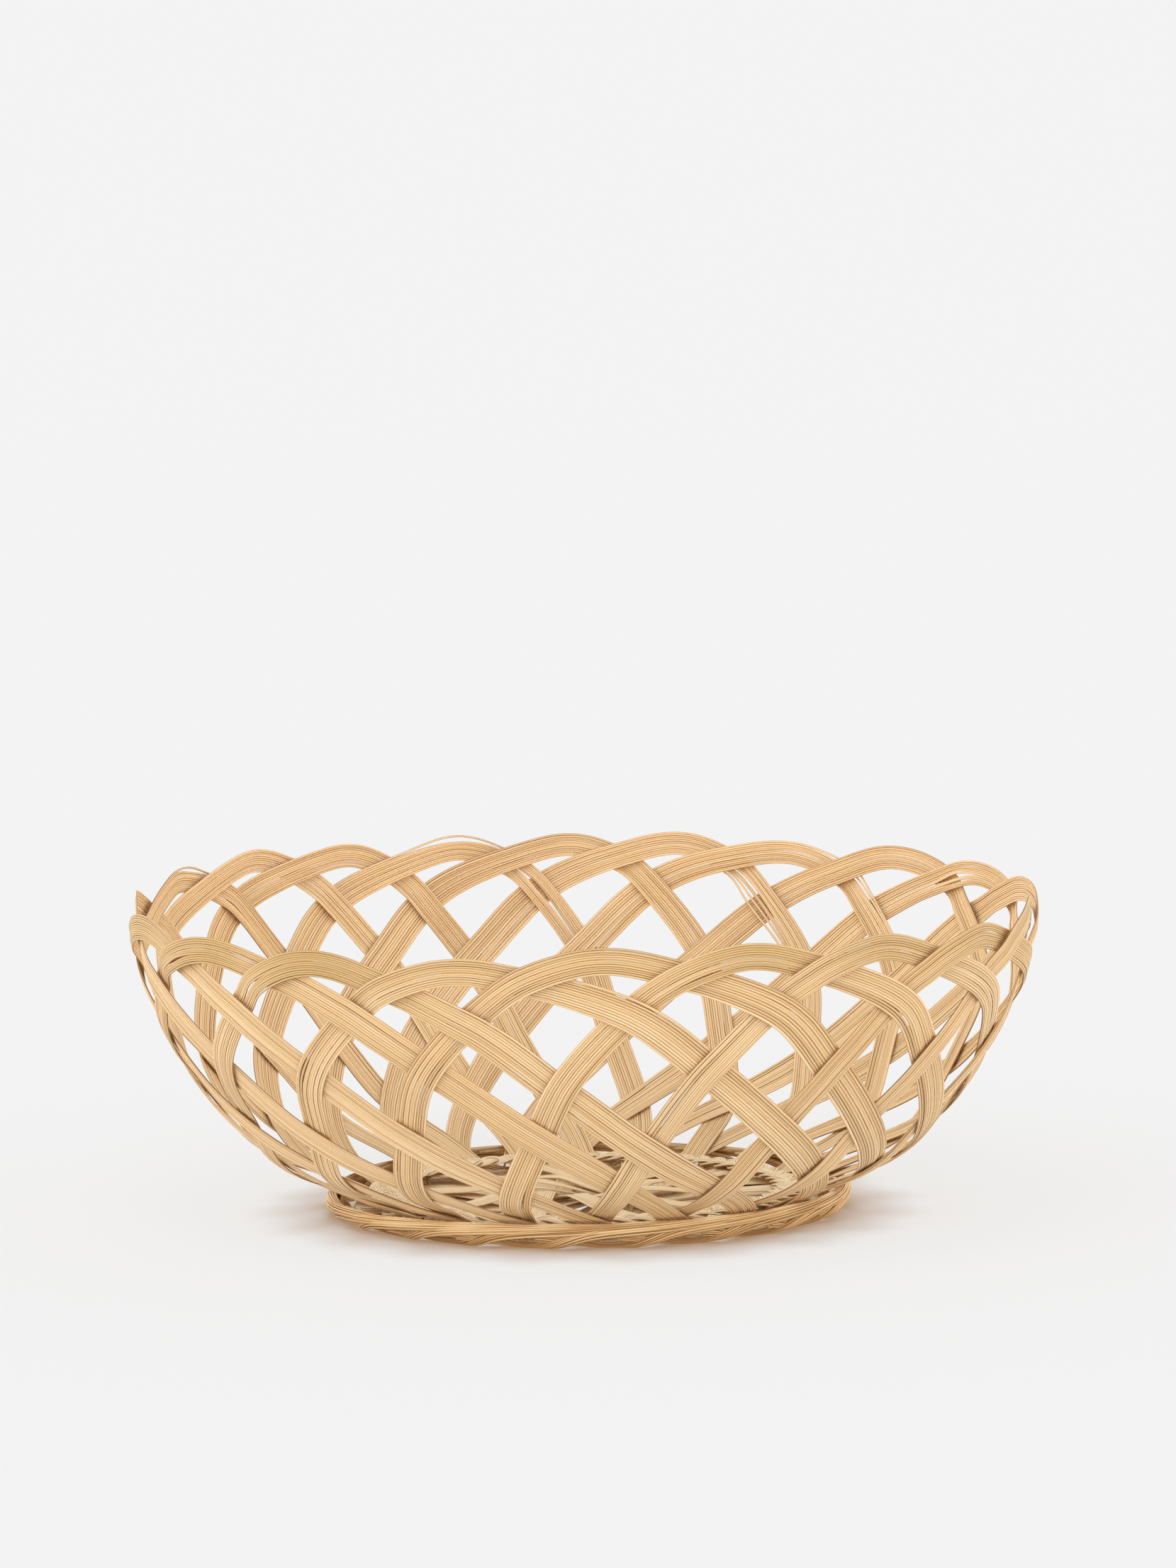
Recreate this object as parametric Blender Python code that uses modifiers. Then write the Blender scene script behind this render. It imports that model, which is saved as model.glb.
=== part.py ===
"""A round open-weave bowl basket with a wave rim, standing on a rolled foot border.

Twenty bundles of fine bamboo splints are woven into the wall. Each one rises steeply
from the base, arches over at the rim and falls back at a lower slope to the foot, so
that rising and falling legs cross in a plain weave. Ten bundles make the star of the
base, a braid lies on them, and twenty more bundles roll round the foot.

Metres, +Z up, the front is -Y. The origin is on the floor under the middle of the foot.
"""

import functools
import math

import bmesh
import bpy
import numpy as np

# Whole basket
RIM_RADIUS = 0.158  # middle of the wall at the crown of an arch
ARCH_COUNT = 20
PITCH_DEG = 360.0 / ARCH_COUNT
FIRST_CROWN_DEG = -69.9  # azimuth of the first crown, from the front towards +X
BACK_CLOSING_DEG = 8.5  # the arches at the back are woven a little closer together
REAR_RISE = 0.05  # share of its height by which the wall is taller at the back

# Wall profile, as shares of RIM_RADIUS
FOOT_SHARE = 0.60  # radius the curve of the wall starts from
PROFILE_SHARE = 0.68  # height at which the wall would stand upright
TUCK_SHARE = 0.165  # how far the wall is drawn in where it meets the foot
TUCK_REACH = 0.095

# Crossings along a leg, from the crown (0) down to the foot (6)
CROSSING_HEIGHTS = (0.688, 0.649, 0.566, 0.428, 0.275, 0.146, 0.054)
RISING_AZIMUTHS = (0.0, -8.6, -14.8, -22.7, -27.9, -32.7, -35.6)
FOOT_CROSSING = len(CROSSING_HEIGHTS) - 1
LAST_CROSSING = 5.92  # the legs stop here, behind the foot border

# The basket is woven by hand, so each arch strays from the rule. How far outwards, in mm,
# at crossings 4 and 2 of its rising leg, its crown, and crossings 2 and 4 of its falling leg
ARCH_STRAY_MM = (
    (0.0, 0.0, -1.0, -0.2, 0.0),
    (0.0, -1.5, -2.1, 2.3, 4.0),
    (-5.5, -5.0, -1.6, -3.3, -4.8),
    (-3.3, -3.2, -2.1, 2.3, 1.6),
    (0.6, 2.1, 1.8, 1.9, -3.7),
    (-1.6, 1.5, 1.4, -0.6, -6.0),
    (1.0, 2.0, 0.4, -2.6, -5.0),
    (0.0, 1.1, -1.9, -2.4, -2.0),
    (3.8, 2.0, 0.0, 1.0, -1.0),
    (0.0, 0.0, 0.0, -1.0, -6.5),
    (4.0, 4.0, -0.5, -1.5, -3.0),
    (8.0, 6.7, 0.3, -0.4, 3.0),
    (-0.3, -0.4, -1.2, 6.2, 7.0),
    (0.6, -0.4, 0.8, 5.6, 7.8),
    (1.1, 0.6, 0.3, 4.8, 6.5),
    (-5.0, -1.3, 0.0, 3.5, 4.7),
    (-7.0, -5.8, 0.3, 7.0, 8.0),
    (-1.0, 0.8, 2.8, 4.0, 5.0),
    (-4.0, 3.4, 0.8, -1.6, 0.0),
    (0.0, -0.2, 0.2, 0.0, -2.5),
)

# Bundles of the wall: drawn together over the crown, spread out on the falling leg
WIDTH_PLACES = (-6.0, -5.2, -3.0, -1.2, 0.0, 1.2, 2.4, 4.4, 5.5, 6.0)
WIDTH_VALUES = (0.0098, 0.0106, 0.0104, 0.0094, 0.0087, 0.0094, 0.0122, 0.0122, 0.0098, 0.0092)
BUNDLE_THICKNESS = 0.0009
WEAVE_OFFSET = 0.0013  # how far a bundle leaves the wall's middle at a crossing
HOLD_SHARE = 0.345  # share of the way to the next crossing over which a bundle keeps its side
HOLD_SHARE_FIRST = 0.47  # the same next to the first crossing, where bundles meet at a slant
ARCH_SEGMENTS = 60

# Foot border
BORDER_COUNT = 20
BORDER_RADIUS = 0.0886
BORDER_HEIGHT = 0.0052  # of the middle of the roll
BORDER_ROLL = 0.0045  # radius of the roll
BORDER_WIDTH = 0.0036
BORDER_THICKNESS = 0.0014
BORDER_TILT_DEG = 42.0  # each bundle laps over the one below it
BORDER_SPAN_DEG = 72.0
BORDER_LEAD_DEG = 8.0  # start of each bundle past the crown above it
BORDER_FROM_DEG = -112.0  # position round the roll where a bundle starts, underneath
BORDER_TO_DEG = 56.0  # and where it ends, at the top of the outer side
BORDER_SEGMENTS = 20

# Star of the base
STAR_COUNT = 10
STAR_WIDTH = 0.0076
STAR_END_WIDTH = 0.0125  # a bundle fans out towards its ends
STAR_FAN_FROM = 0.0420
STAR_THICKNESS = 0.0012
STAR_OFFSET = 0.0131  # distance of a bundle from the middle of the base
STAR_REACH = 0.0820  # radius at which its ends lie
STAR_HEIGHT = 0.0044
STAR_CLIMB = 0.0035  # rise at STAR_STEEP, so that each bundle clears the next
STAR_STEEP = 0.0155
STAR_SETTLED = 0.0440
STAR_END_CLIMB = 0.0009
STAR_SEGMENTS = 22

# Mat under the ends of the star
MAT_INNER = 0.0450
MAT_OUTER = 0.0815
MAT_BOTTOM = 0.0013
MAT_THICKNESS = 0.0012
MAT_STEPS = 60

# Braid lying on the star
BRAID_RADIUS = 0.0712
BRAID_WIDTH = 0.0120
BRAID_BOTTOM = 0.0063
BRAID_THICKNESS = 0.0026
BRAID_STEPS = 60

COLOURS = {
    "wall_bamboo": (0.70, 0.50, 0.26, 1.0),
    "border_bamboo": (0.66, 0.46, 0.23, 1.0),
    "star_bamboo": (0.72, 0.56, 0.34, 1.0),
    "mat_bamboo": (0.70, 0.54, 0.32, 1.0),
    "braid_bamboo": (0.74, 0.60, 0.38, 1.0),
}


def clear_scene():
    for ob in list(bpy.data.objects):
        bpy.data.objects.remove(ob, do_unlink=True)


def make_materials():
    made = {}
    for name, colour in COLOURS.items():
        material = bpy.data.materials.new(name)
        material.use_nodes = True
        shader = material.node_tree.nodes["Principled BSDF"]
        shader.inputs["Base Color"].default_value = colour
        shader.inputs["Roughness"].default_value = 0.55
        made[name] = material
    return made


def unit(vectors):
    return vectors / np.linalg.norm(vectors, axis=-1, keepdims=True)


def smooth(f):
    f = np.clip(f, 0.0, 1.0)
    return f * f * (3.0 - 2.0 * f)


def place(azimuth, radius, height):
    """Points from azimuths in degrees, with the closing and the rise of the back."""
    t = np.radians(azimuth)
    t = t + math.radians(BACK_CLOSING_DEG) * np.sin(t) * (1.0 - np.cos(t)) / 2.0
    x = radius * np.sin(t)
    y = -radius * np.cos(t)
    return np.stack([x, y, height * (1.0 + REAR_RISE * y / RIM_RADIUS)], axis=-1)


def wall_radius(height):
    share = height / RIM_RADIUS
    curve = np.sin(math.pi / 2.0 * share / PROFILE_SHARE)
    tuck = TUCK_SHARE * np.exp(-((share / TUCK_REACH) ** 2))
    return RIM_RADIUS * (FOOT_SHARE + (1.0 - FOOT_SHARE) * curve - tuck)


def wall_normal(points):
    """The wall's outward direction at points on it, from its slope and the rear rise."""
    x, y, z = points[:, 0], points[:, 1], points[:, 2]
    rise = REAR_RISE / RIM_RADIUS
    stretch = 1.0 + rise * y
    height = z / stretch
    step = 0.0002
    slope = (wall_radius(height + step) - wall_radius(height - step)) / (2.0 * step)
    flat = np.hypot(x, y)
    along_y = y / flat + slope * height * rise / stretch
    return unit(np.stack([x / flat, along_y, -slope / stretch], axis=-1))


def onto_wall(points):
    """Points moved level with themselves to the wall's middle surface."""
    x, y, z = points[:, 0], points[:, 1], points[:, 2]
    height = z / (1.0 + REAR_RISE * y / RIM_RADIUS)
    scale = wall_radius(height) / np.hypot(x, y)
    return np.stack([x * scale, y * scale, z], axis=-1)


def curve_through(values, u):
    """Catmull-Rom curve through values at u = 0, 1, 2 and so on."""
    before = 2.0 * values[0] - values[1]
    after = 2.0 * values[-1] - values[-2]
    padded = np.array([before, *values, after])
    i = np.clip(np.floor(u).astype(int), 0, len(values) - 2)
    f = u - i
    a, b, c, d = (padded[i + k] for k in range(4))
    slope_b = (c - a) / 2.0
    slope_c = (d - b) / 2.0
    return (
        b * (1.0 + 2.0 * f) * (1.0 - f) ** 2
        + slope_b * f * (1.0 - f) ** 2
        + c * f * f * (3.0 - 2.0 * f)
        + slope_c * f * f * (f - 1.0)
    )


def ruled_point(crown, u):
    """A point of an arch as the rule has it: u counts crossings, rising leg negative."""
    falling = [a + PITCH_DEG * k for k, a in enumerate(RISING_AZIMUTHS)]
    azimuths = list(reversed(RISING_AZIMUTHS)) + falling[1:]
    shares = list(reversed(CROSSING_HEIGHTS)) + list(CROSSING_HEIGHTS[1:])
    azimuth = crown + curve_through(azimuths, FOOT_CROSSING + u)
    height = RIM_RADIUS * curve_through(shares, FOOT_CROSSING + u)
    return place(azimuth, wall_radius(height), height)


def arch_middle(number, u):
    """The middle of a bundle, where it strays from the rule."""
    crown = FIRST_CROWN_DEG + PITCH_DEG * number
    point = ruled_point(crown, u)
    along = unit(ruled_point(crown, u + 0.02) - ruled_point(crown, u - 0.02))
    across = np.cross(wall_normal(point), along)
    strays = np.array([0.0, *ARCH_STRAY_MM[number % ARCH_COUNT], 0.0]) / 1000.0
    stray = curve_through(strays, (u + FOOT_CROSSING) / 2.0)
    return onto_wall(point + across * stray[:, None])


@functools.lru_cache(maxsize=None)
def meeting(rising_number, crossing):
    """Where the rising leg of one arch and the falling leg of another cross."""
    falling_number = (rising_number - crossing) % ARCH_COUNT
    near = np.linspace(-0.75, 0.75, 101)
    rising = arch_middle(rising_number, near - crossing)
    falling = arch_middle(falling_number, near + crossing)
    gaps = np.linalg.norm(rising[:, None] - falling[None], axis=2)
    i, j = divmod(int(gaps.argmin()), len(near))
    return near[i] - crossing, near[j] + crossing


def weave_side(number, u):
    """1 where the bundle is outside, -1 inside: a rising leg is outside at odd crossings."""
    crossings = [c for c in range(-FOOT_CROSSING, FOOT_CROSSING + 1) if c != 0]
    places = np.array(crossings, float)
    for i, crossing in enumerate(crossings[1:-1], start=1):
        if crossing < 0:
            places[i] = meeting(number, -crossing)[0]
        else:
            places[i] = meeting((number + crossing) % ARCH_COUNT, crossing)[1]
    sides = np.array([1.0 if (c % 2 == 1) == (c < 0) else -1.0 for c in crossings])
    holds = np.array([HOLD_SHARE_FIRST if abs(c) == 1 else HOLD_SHARE for c in crossings])
    i = np.clip(np.searchsorted(places, u) - 1, 0, len(places) - 2)
    f = (u - places[i]) / (places[i + 1] - places[i])
    f = smooth((f - holds[i]) / (1.0 - holds[i + 1] - holds[i]))
    return sides[i] * (1.0 - f) + sides[i + 1] * f


def bar(name, near, far, half, material, collection):
    """A closed bar: a box divided along its length and laid through the stations.

    Each station has the middle of its two edges, and half the thickness as a vector.
    """
    bm = bmesh.new()
    bmesh.ops.create_cube(bm, size=1.0)
    lengthwise = [e for e in bm.edges if abs(e.verts[0].co.x - e.verts[1].co.x) > 0.5]
    bmesh.ops.subdivide_edges(bm, edges=lengthwise, cuts=len(near) - 2)
    for v in bm.verts:
        i = round((v.co.x + 0.5) * (len(near) - 1))
        share = v.co.y + 0.5
        v.co = near[i] * (1.0 - share) + far[i] * share + half[i] * (2.0 * v.co.z)
        v.co.z = max(v.co.z, 0.0)
    mesh = bpy.data.meshes.new(name)
    bm.to_mesh(mesh)
    bm.free()
    ob = bpy.data.objects.new(name, mesh)
    ob.data.materials.append(material)
    collection.objects.link(ob)
    return ob


def arch_bar(name, number, material, collection):
    u = np.linspace(-LAST_CROSSING, LAST_CROSSING, ARCH_SEGMENTS + 1)
    middle = arch_middle(number, u)
    out = wall_normal(middle)
    along = unit(arch_middle(number, u + 0.02) - arch_middle(number, u - 0.02))
    half_width = np.interp(u, WIDTH_PLACES, WIDTH_VALUES) / 2.0
    across = np.cross(out, along) * half_width[:, None]
    lift = out * (WEAVE_OFFSET * weave_side(number, u))[:, None]
    near = onto_wall(middle - across) + lift
    far = onto_wall(middle + across) + lift
    bar(name, near, far, out * (BUNDLE_THICKNESS / 2.0), material, collection)


def border_point(start, share):
    roll = np.radians(BORDER_FROM_DEG + (BORDER_TO_DEG - BORDER_FROM_DEG) * share)
    radius = BORDER_RADIUS + BORDER_ROLL * np.cos(roll)
    height = BORDER_HEIGHT + BORDER_ROLL * np.sin(roll)
    return place(start + BORDER_SPAN_DEG * share, radius, height)


def border_bar(name, start, material, collection):
    """A bundle winding up round the roll, tilted so that it laps over the one below."""
    share = np.linspace(0.0, 1.0, BORDER_SEGMENTS + 1)
    tilt = math.radians(BORDER_TILT_DEG)
    point = border_point(start, share)
    core = place(start + BORDER_SPAN_DEG * share, BORDER_RADIUS, BORDER_HEIGHT)
    out = unit(point - core)
    along = unit(border_point(start, share + 0.01) - border_point(start, share - 0.01))
    upward = np.cross(out, along)
    across = (upward * math.cos(tilt) - out * math.sin(tilt)) * (BORDER_WIDTH / 2.0)
    half = (out * math.cos(tilt) + upward * math.sin(tilt)) * (BORDER_THICKNESS / 2.0)
    bar(name, point - across, point + across, half, material, collection)


def star_climb(s):
    size = np.abs(s)
    f = smooth((size - STAR_STEEP) / (STAR_SETTLED - STAR_STEEP))
    settled = STAR_CLIMB * (1.0 - f) + STAR_END_CLIMB * f
    steep = STAR_CLIMB * s / STAR_STEEP
    return np.where(size < STAR_STEEP, steep, np.sign(s) * settled)


def star_point(turn, s, aside, height):
    """Points of a star bundle: s along it, aside across it, bent with the whole basket."""
    t = math.radians(turn)
    offset = STAR_OFFSET + aside
    x = offset * math.sin(t) + s * math.cos(t)
    y = -offset * math.cos(t) + s * math.sin(t)
    return place(np.degrees(np.arctan2(x, -y)), np.hypot(x, y), height)


def star_bar(name, turn, material, collection):
    end = math.sqrt(STAR_REACH**2 - STAR_OFFSET**2)
    s = np.linspace(-end, end, STAR_SEGMENTS + 1)
    height = STAR_HEIGHT + star_climb(s)
    fan = smooth((np.abs(s) - STAR_FAN_FROM) / (end - STAR_FAN_FROM))
    half_width = (STAR_WIDTH * (1.0 - fan) + STAR_END_WIDTH * fan) / 2.0
    near = star_point(turn, s, half_width, height)
    far = star_point(turn, s, -half_width, height)
    half = np.tile((0.0, 0.0, STAR_THICKNESS / 2.0), (len(s), 1))
    bar(name, near, far, half, material, collection)


def turned_ring(name, section, steps, material, collection):
    """A section of (radius, height) points, down its outer side first, turned round the axis."""
    mesh = bpy.data.meshes.new(name)
    edges = [(i, (i + 1) % len(section)) for i in range(len(section))]
    mesh.from_pydata([(x, 0.0, z) for x, z in section], edges, [])
    ob = bpy.data.objects.new(name, mesh)
    ob.data.materials.append(material)
    turn = ob.modifiers.new("turn", "SCREW")
    turn.axis = "Z"
    turn.angle = math.tau
    turn.steps = steps
    turn.render_steps = steps
    turn.use_merge_vertices = True
    turn.merge_threshold = 0.00001
    collection.objects.link(ob)
    return ob


def base_mat(name, material, collection):
    """The flat ring of strips that the ends of the star rest on."""
    top = MAT_BOTTOM + MAT_THICKNESS
    section = (
        (MAT_OUTER, top),
        (MAT_OUTER, MAT_BOTTOM),
        (MAT_INNER, MAT_BOTTOM),
        (MAT_INNER, top),
    )
    turned_ring(name, section, MAT_STEPS, material, collection)


def braid_ring(name, material, collection):
    """The braid's envelope: a flat rounded section turned round the axis."""
    half = BRAID_WIDTH / 2.0
    middle = BRAID_BOTTOM + BRAID_THICKNESS / 2.0
    corner = 0.7
    section = (
        (BRAID_RADIUS + half * corner, BRAID_BOTTOM + BRAID_THICKNESS),
        (BRAID_RADIUS + half, middle),
        (BRAID_RADIUS + half * corner, BRAID_BOTTOM),
        (BRAID_RADIUS - half * corner, BRAID_BOTTOM),
        (BRAID_RADIUS - half, middle),
        (BRAID_RADIUS - half * corner, BRAID_BOTTOM + BRAID_THICKNESS),
    )
    turned_ring(name, section, BRAID_STEPS, material, collection)


def build():
    clear_scene()
    collection = bpy.data.collections.new("wave_rim_basket")
    bpy.context.scene.collection.children.link(collection)
    materials = make_materials()
    for j in range(ARCH_COUNT):
        arch_bar(f"arch_{j + 1:02d}", j, materials["wall_bamboo"], collection)
    for j in range(BORDER_COUNT):
        start = FIRST_CROWN_DEG + BORDER_LEAD_DEG + 360.0 * j / BORDER_COUNT
        border_bar(f"border_{j + 1:02d}", start, materials["border_bamboo"], collection)
    first = FIRST_CROWN_DEG + RISING_AZIMUTHS[-1] + 81.0
    for j in range(STAR_COUNT):
        turn = first + 360.0 * j / STAR_COUNT
        star_bar(f"star_{j + 1:02d}", turn, materials["star_bamboo"], collection)
    base_mat("base_mat", materials["mat_bamboo"], collection)
    braid_ring("base_braid", materials["braid_bamboo"], collection)


build()
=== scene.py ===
"""Looks of the open-weave basket: each bundle of the frame is laid again from fine bamboo splints.

The weave follows the same rules as the frame: twenty bundles rise steeply from the foot, arch
over at the rim and fall back at a lower slope. Metres, +Z up, the front is -Y.
"""

import functools
import math

import bpy
import numpy as np
from mathutils import Matrix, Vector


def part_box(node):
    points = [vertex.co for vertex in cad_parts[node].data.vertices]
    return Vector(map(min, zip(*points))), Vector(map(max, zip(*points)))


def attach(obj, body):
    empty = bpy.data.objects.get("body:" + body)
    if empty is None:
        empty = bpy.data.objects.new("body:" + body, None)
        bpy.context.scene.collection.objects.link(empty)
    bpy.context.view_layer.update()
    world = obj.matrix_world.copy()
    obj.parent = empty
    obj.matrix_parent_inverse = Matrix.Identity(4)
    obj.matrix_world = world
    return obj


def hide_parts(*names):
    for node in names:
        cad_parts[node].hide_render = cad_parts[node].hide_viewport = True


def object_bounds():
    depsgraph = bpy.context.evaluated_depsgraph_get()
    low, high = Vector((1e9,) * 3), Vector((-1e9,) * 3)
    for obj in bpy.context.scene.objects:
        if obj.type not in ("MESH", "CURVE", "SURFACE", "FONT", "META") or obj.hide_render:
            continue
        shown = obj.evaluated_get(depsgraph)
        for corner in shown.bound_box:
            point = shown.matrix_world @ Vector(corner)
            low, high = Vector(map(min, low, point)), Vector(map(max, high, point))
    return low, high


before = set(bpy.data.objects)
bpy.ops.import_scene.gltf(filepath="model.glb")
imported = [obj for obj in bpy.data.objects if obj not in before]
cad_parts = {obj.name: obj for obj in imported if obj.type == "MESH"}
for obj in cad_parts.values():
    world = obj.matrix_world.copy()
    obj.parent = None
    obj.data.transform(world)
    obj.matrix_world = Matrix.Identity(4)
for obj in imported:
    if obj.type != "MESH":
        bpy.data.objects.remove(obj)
cad_low, cad_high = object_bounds()

# Whole basket, as in the frame
EDGE_PROUD = 0.0015  # how far the frame's bundles stand outside the middle of the wall
RIM_RADIUS = (cad_high.x - cad_low.x) / 2.0 - EDGE_PROUD
ARCH_COUNT = 20
PITCH_DEG = 360.0 / ARCH_COUNT
FIRST_CROWN_DEG = -69.9
BACK_CLOSING = math.radians(8.5)
REAR_RISE = 0.05
FOOT_SHARE = 0.60
PROFILE_SHARE = 0.68
TUCK_SHARE = 0.165
TUCK_REACH = 0.095

# Crossings along a leg, from the crown (0) down to the foot (6)
CROSSING_HEIGHTS = (0.688, 0.649, 0.566, 0.428, 0.275, 0.146, 0.054)
RISING_AZIMUTHS = (0.0, -8.6, -14.8, -22.7, -27.9, -32.7, -35.6)
FOOT_CROSSING = len(CROSSING_HEIGHTS) - 1

# How far outwards each hand-woven arch strays from the rule, in mm, at crossings 4 and 2 of
# its rising leg, its crown, and crossings 2 and 4 of its falling leg; the same as the frame
ARCH_STRAY_MM = (
    (0.0, 0.0, -1.0, -0.2, 0.0),
    (0.0, -1.5, -2.1, 2.3, 4.0),
    (-5.5, -5.0, -1.6, -3.3, -4.8),
    (-3.3, -3.2, -2.1, 2.3, 1.6),
    (0.6, 2.1, 1.8, 1.9, -3.7),
    (-1.6, 1.5, 1.4, -0.6, -6.0),
    (1.0, 2.0, 0.4, -2.6, -5.0),
    (0.0, 1.1, -1.9, -2.4, -2.0),
    (3.8, 2.0, 0.0, 1.0, -1.0),
    (0.0, 0.0, 0.0, -1.0, -6.5),
    (4.0, 4.0, -0.5, -1.5, -3.0),
    (8.0, 6.7, 0.3, -0.4, 3.0),
    (-0.3, -0.4, -1.2, 6.2, 7.0),
    (0.6, -0.4, 0.8, 5.6, 7.8),
    (1.1, 0.6, 0.3, 4.8, 6.5),
    (-5.0, -1.3, 0.0, 3.5, 4.7),
    (-7.0, -5.8, 0.3, 7.0, 8.0),
    (-1.0, 0.8, 2.8, 4.0, 5.0),
    (-4.0, 3.4, 0.8, -1.6, 0.0),
    (0.0, -0.2, 0.2, 0.0, -2.5),
)

# Bundles of the wall: drawn together over the crown, spread out on the falling leg
WIDTH_PLACES = (-6.0, -5.2, -3.0, -1.2, 0.0, 1.2, 2.4, 4.4, 5.5, 6.0)
WIDTH_VALUES = (0.0098, 0.0106, 0.0104, 0.0094, 0.0087, 0.0094, 0.0122, 0.0122, 0.0098, 0.0092)
WEAVE_OFFSET = 0.00070  # how far a bundle leaves the wall's middle at a crossing
RIM_OFFSET = 0.00060  # and how much further next to the rim, where bundles meet at a slant
RIM_REACH = 2.0  # in crossings from the crown
HOLD_SHARE = 0.12  # of the way between crossings, that a bundle stays fully out or in
HOLD_SHARE_FIRST = 0.20
WALL_SPLINTS = 12
WALL_SPLINT_THICKNESS = 0.00064
WALL_WANDER = 0.00009  # how far a splint strays sideways and in or out
WALL_EDGE_DROP = 0.00020  # a bundle is a little rounded across
WALL_STATIONS = 120
WALL_END = 6.32
CROWN_REACH = 1.25  # in crossings: how far the browning of a crown reaches
CHANCE_SPLITS = 3  # small splits that any arch has
SPLIT_SPREAD = 3.0  # in splints: how far beside a split the others give way

# How much each arch has browned over its crown, where the splints were bent
CROWN_STAIN = (
    0.65, 0.85, 1.00, 0.42, 0.36, 0.72, 0.70, 0.60, 0.50, 0.40,
    0.40, 0.45, 0.42, 0.42, 0.28, 0.32, 0.45, 0.50, 0.50, 0.60,
)

# Splints
SECTION_SIDES = 8
SECTION_SQUARENESS = 2.6  # exponent of the rounded section: 2 is an ellipse

# Foot border
BORDER_RADIUS = 0.0892
BORDER_HEIGHT = 0.0052
BORDER_ROLL = 0.0045
BORDER_LEAN = 0.0034  # the underside of the roll lies this much further in than its top
BORDER_TILT_DEG = 24.0
BORDER_SPAN_DEG = 48.0  # a bundle climbs round the roll over this much of the ring
BORDER_LEAD_DEG = 20.0
BORDER_FROM_DEG = 2.0
BORDER_TO_DEG = 62.0
BORDER_DIP_DEG = 98.0  # it starts with a loop down to the floor and up again
BORDER_DIP_REACH_DEG = 9.0
BORDER_START_DEG = -16.0
BORDER_TUCK_FROM_DEG = 40.0
BORDER_PAST_DEG = 62.0
BORDER_THIN_DEG = -72.0  # the roll is thinnest at this azimuth
BORDER_THINNING = 0.34
BORDER_WIDTH = 0.0043
BORDER_SPLINTS = 6  # in the outer row; the row under it has two fewer
BORDER_SPLINT_THICKNESS = 0.00078
BORDER_ROW_STEP = 0.00055
BORDER_PROUD = 0.00030
BORDER_EDGE_DROP = 0.00075
BORDER_UNDER = 0.0012  # how far a bundle's start lies under the others
BORDER_TUCKED = 0.0013  # and how far its end does
BORDER_STATIONS = 90

# Star of the base
STAR_COUNT = 10
STAR_OFFSET = 0.0131
STAR_REACH = 0.0822
STAR_HEIGHT = 0.0044
STAR_CLIMB = 0.0035
STAR_STEEP = 0.0155
STAR_SETTLED = 0.0440
STAR_END_CLIMB = 0.0009
STAR_WIDTH = 0.0082
STAR_END_WIDTH = 0.0132
STAR_FAN_FROM = 0.0420
STAR_SPLINTS = 10
STAR_SPLINT_THICKNESS = 0.00058
STAR_STATIONS = 56

# Mat under the ends of the star: broad slanting strips
MAT_LOW, MAT_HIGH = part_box("base_mat")
MAT_HEART = 0.0120  # the strips run on below the star, down to this radius
MAT_OUTER = MAT_HIGH.x
MAT_STRIPS = 20
MAT_SLANT_DEG = 62.0
MAT_SPLINTS = 12
MAT_SPLINT_THICKNESS = 0.00050
MAT_COVER = 0.84  # share of its place in the ring that a strip's splint fills
MAT_ON_FLOOR = 0.00032  # height of the strips' inner ends
MAT_RISE_FROM = 0.036  # the strips rise to the frame's mat over this stretch of radius
MAT_RISE_OVER = 0.010
MAT_LAP = 0.00025  # every second strip lies this much higher
MAT_STATIONS = 44

# Plait on the base
PLAIT_LOW, PLAIT_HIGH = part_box("base_braid")
PLAIT_WIDTH = 0.0120
PLAIT_RADIUS = PLAIT_HIGH.x - PLAIT_WIDTH / 2.0
PLAIT_TURNS = 20
PLAIT_STRANDS = 3
PLAIT_SPLINTS = 5
PLAIT_SWING = 0.0036  # how far a strand swings in and out
PLAIT_RISE = 0.00066  # and up and down
PLAIT_PITCH = 0.00100  # from splint to splint
PLAIT_SPLINT = (0.00106, 0.00060)  # width and thickness
PLAIT_ROUNDING = 0.00007
PLAIT_STATIONS = 420

# Studio
FLOOR_COLOUR = (0.24, 0.24, 0.24, 1.0)
FLOOR_GLOW = 0.6265  # light that comes through the floor from below
FLOOR_SHADOW_REACH = 0.025  # the glow is dimmed to a painted warm contact shadow where the basket stands closer than this
# colour of the painted contact shadow in the floor's glow
FLOOR_SHADOW_COLOUR = (0.50, 0.32, 0.19, 1.0)
BACKGROUND = 0.896  # brightness of the empty background
OVERHEAD = (0.54, 0.52, 0.50)  # the soft light from above
AROUND = (2.41, 2.21, 2.01)  # and how much stronger it is from the sides
KEY_STRENGTH = 0.86
KEY_COLOUR = (0.772, 1.0, 1.227)
KEY_SOFTNESS_DEG = 60.0
KEY_TILT_DEG = (28.0, -14.0)
CAMERA_PLACE = (0.0, -1.790, 0.2906)
CAMERA_DOWN_DEG = 4.49
CAMERA_ROLL_DEG = -0.68
CAMERA_LENS = 117.4
CAMERA_SHIFT_X = 0.0037

MOTTLE = np.random.default_rng(7)


# ---------------------------------------------------------------- shape of the basket


def unit(vectors):
    return vectors / np.linalg.norm(vectors, axis=-1, keepdims=True)


def smooth(f):
    f = np.clip(f, 0.0, 1.0)
    return f * f * (3.0 - 2.0 * f)


def place(azimuth, radius, height):
    """Points from azimuths in degrees, with the closing and the rise of the back."""
    t = np.radians(azimuth)
    t = t + BACK_CLOSING * np.sin(t) * (1.0 - np.cos(t)) / 2.0
    x = radius * np.sin(t)
    y = -radius * np.cos(t)
    return np.stack([x, y, height * (1.0 + REAR_RISE * y / RIM_RADIUS)], axis=-1)


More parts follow.
